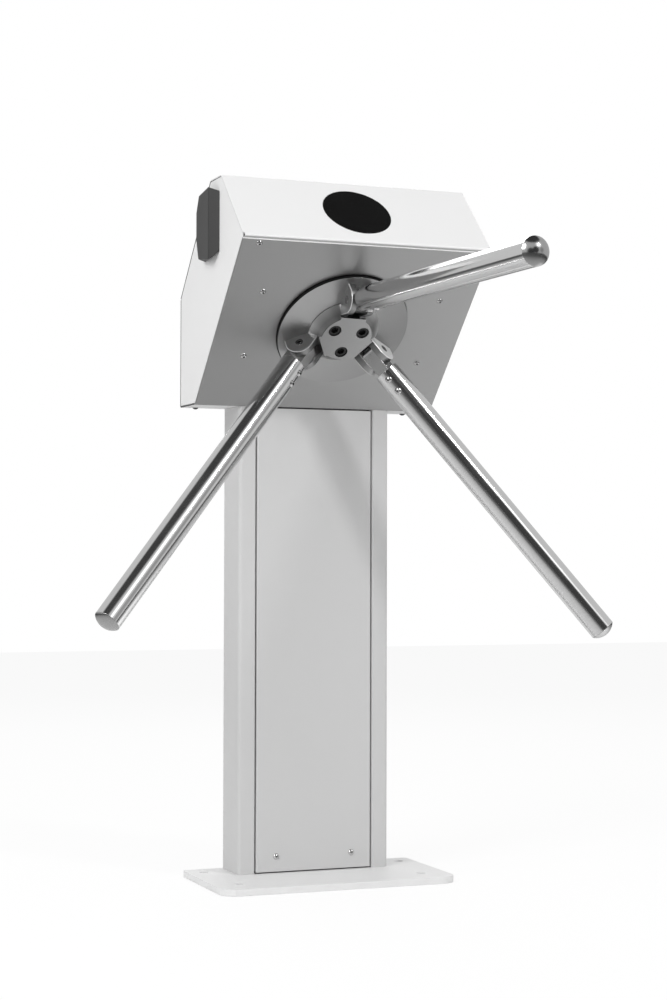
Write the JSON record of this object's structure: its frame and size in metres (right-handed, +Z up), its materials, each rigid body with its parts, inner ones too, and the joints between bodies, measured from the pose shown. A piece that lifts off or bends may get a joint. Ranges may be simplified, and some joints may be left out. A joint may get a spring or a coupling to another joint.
{
  "type": "tripod turnstile",
  "caption": "Waist-high tripod turnstile: slim column on a foot plate, tilted angular head, sloping rotor disc and polished tube arms that can drop.",
  "frame": {"origin": "on the floor, at the centre of the cable hole in the base plate, under the middle of the column", "axes": "+X to the right seen from the front, across the head; -Y out of the front, the way the top arm points; +Z up"},
  "size_m": [0.7968, 0.788, 1.04],
  "materials": {
    "white_paint": "satin",
    "column_paint": "satin",
    "panel_steel": "satin",
    "rotor_steel": "satin",
    "polished_steel": "polished",
    "bright_screws": "satin",
    "black_screws": "matte",
    "black_plastic": "matte",
    "window_plastic": "gloss",
    "mechanism_steel": "zinc plated",
    "primer_steel": "satin",
    "bearing_steel": "ground",
    "cast_housing": "machined",
    "coil_case": "satin",
    "gear_brass": "machined",
    "board_green": "matte"
  },
  "bodies": {
    "stand": {"base_plate": "white_paint", "column_shell": "column_paint", "column_top_plate": "primer_steel", "column_cross_bars": "primer_steel", "service_panel": "column_paint", "service_panel_screws": "bright_screws", "control_board": "board_green", "board_parts": "black_plastic", "head_tray": "white_paint", "side_panel_left": "white_paint", "side_panel_right": "white_paint", "top_cover": "white_paint", "front_frame": "white_paint", "front_panel": "panel_steel", "front_panel_screws": "bright_screws", "tray_screws": "bright_screws", "head_bolts": "mechanism_steel", "indicator_left": "black_plastic", "indicator_right": "black_plastic", "reader_window": "window_plastic", "lock_body": "polished_steel", "mechanism_frame_left": "primer_steel", "mechanism_frame_right": "primer_steel", "mechanism_plate": "primer_steel", "mechanism_bolts": "mechanism_steel", "mechanism_pins": "bearing_steel", "bearing_housing": "cast_housing", "front_bearing": "bearing_steel", "rear_bearing": "bearing_steel", "solenoid_left": "coil_case", "solenoid_right": "coil_case", "damper": "cast_housing", "centring_spring": "mechanism_steel"},
    "rotor": {"main_shaft": "bearing_steel", "shaft_key": "mechanism_steel", "rotor_disc": "rotor_steel", "hub": "rotor_steel", "hub_cap_screws": "black_screws", "drive_gear": "mechanism_steel", "index_disc": "mechanism_steel", "shaft_nut": "mechanism_steel", "clevis_pins": "bright_screws"},
    "arm_top": {"arm_top_knuckle": "rotor_steel", "arm_top_tube": "polished_steel", "arm_top_cap": "polished_steel", "arm_top_screws": "bright_screws"},
    "arm_right": {"arm_right_knuckle": "rotor_steel", "arm_right_tube": "polished_steel", "arm_right_cap": "polished_steel", "arm_right_screws": "bright_screws"},
    "arm_left": {"arm_left_knuckle": "rotor_steel", "arm_left_tube": "polished_steel", "arm_left_cap": "polished_steel", "arm_left_screws": "bright_screws"},
    "centring_wheel": {"centring_gear": "gear_brass"},
    "pawl_left": {"locking_pawl_left": "mechanism_steel"},
    "pawl_right": {"locking_pawl_right": "mechanism_steel"},
    "coil_plunger_left": {"plunger_left": "bearing_steel"},
    "coil_plunger_right": {"plunger_right": "bearing_steel"},
    "cover_lock": {"lock_barrel": "polished_steel"}
  },
  "joints": [
    {"name": "rotor_spin", "type": "hinge", "parent": "stand", "child": "rotor", "pos_m": [0, -0.14902, 0.82602], "axis": [0, -0.7071, -0.7071], "continuous": true},
    {"name": "arm_top_drop", "type": "hinge", "parent": "rotor", "child": "arm_top", "pos_m": [0.00259, -0.21014, 0.86028], "axis": [0.9993, 0.0271, -0.0271], "range_deg": [0, 90]},
    {"name": "arm_right_drop", "type": "hinge", "parent": "rotor", "child": "arm_right", "pos_m": [0.05712, -0.13702, 0.78715], "axis": [-0.5329, 0.5983, -0.5983], "range_deg": [0, 48]},
    {"name": "arm_left_drop", "type": "hinge", "parent": "rotor", "child": "arm_left", "pos_m": [-0.05971, -0.14019, 0.79032], "axis": [-0.4664, -0.6255, 0.6255], "range_deg": [0, 48]},
    {"name": "centring_spin", "type": "hinge", "parent": "stand", "child": "centring_wheel", "pos_m": [0, -0.00194, 0.83167], "axis": [0, -0.7071, -0.7071], "continuous": true},
    {"name": "pawl_left_swing", "type": "hinge", "parent": "stand", "child": "pawl_left", "pos_m": [-0.092, -0.07618, 0.92006], "axis": [0, 0.7071, 0.7071], "range_deg": [0, 5], "stiffness_Nm_per_rad": 2},
    {"name": "plunger_left_slide", "type": "slide", "parent": "stand", "child": "coil_plunger_left", "axis": [1, 0, 0], "range_m": [0, 0.0076]},
    {"name": "pawl_right_swing", "type": "hinge", "parent": "stand", "child": "pawl_right", "pos_m": [0.092, -0.07618, 0.92006], "axis": [0, -0.7071, -0.7071], "range_deg": [0, 5], "stiffness_Nm_per_rad": 2},
    {"name": "plunger_right_slide", "type": "slide", "parent": "stand", "child": "coil_plunger_right", "axis": [-1, 0, 0], "range_m": [0, 0.0076]},
    {"name": "cover_lock_turn", "type": "hinge", "parent": "stand", "child": "cover_lock", "pos_m": [0, 0.01086, 0.91239], "axis": [0, 0.7346, 0.6785], "range_deg": [0, 90]}
  ],
  "couplings": [
    {"joint": "centring_spin", "follows": "rotor_spin", "ratio": -3},
    {"joint": "plunger_left_slide", "follows": "pawl_left_swing", "m_per_rad": 0.085},
    {"joint": "plunger_right_slide", "follows": "pawl_right_swing", "m_per_rad": 0.085}
  ]
}
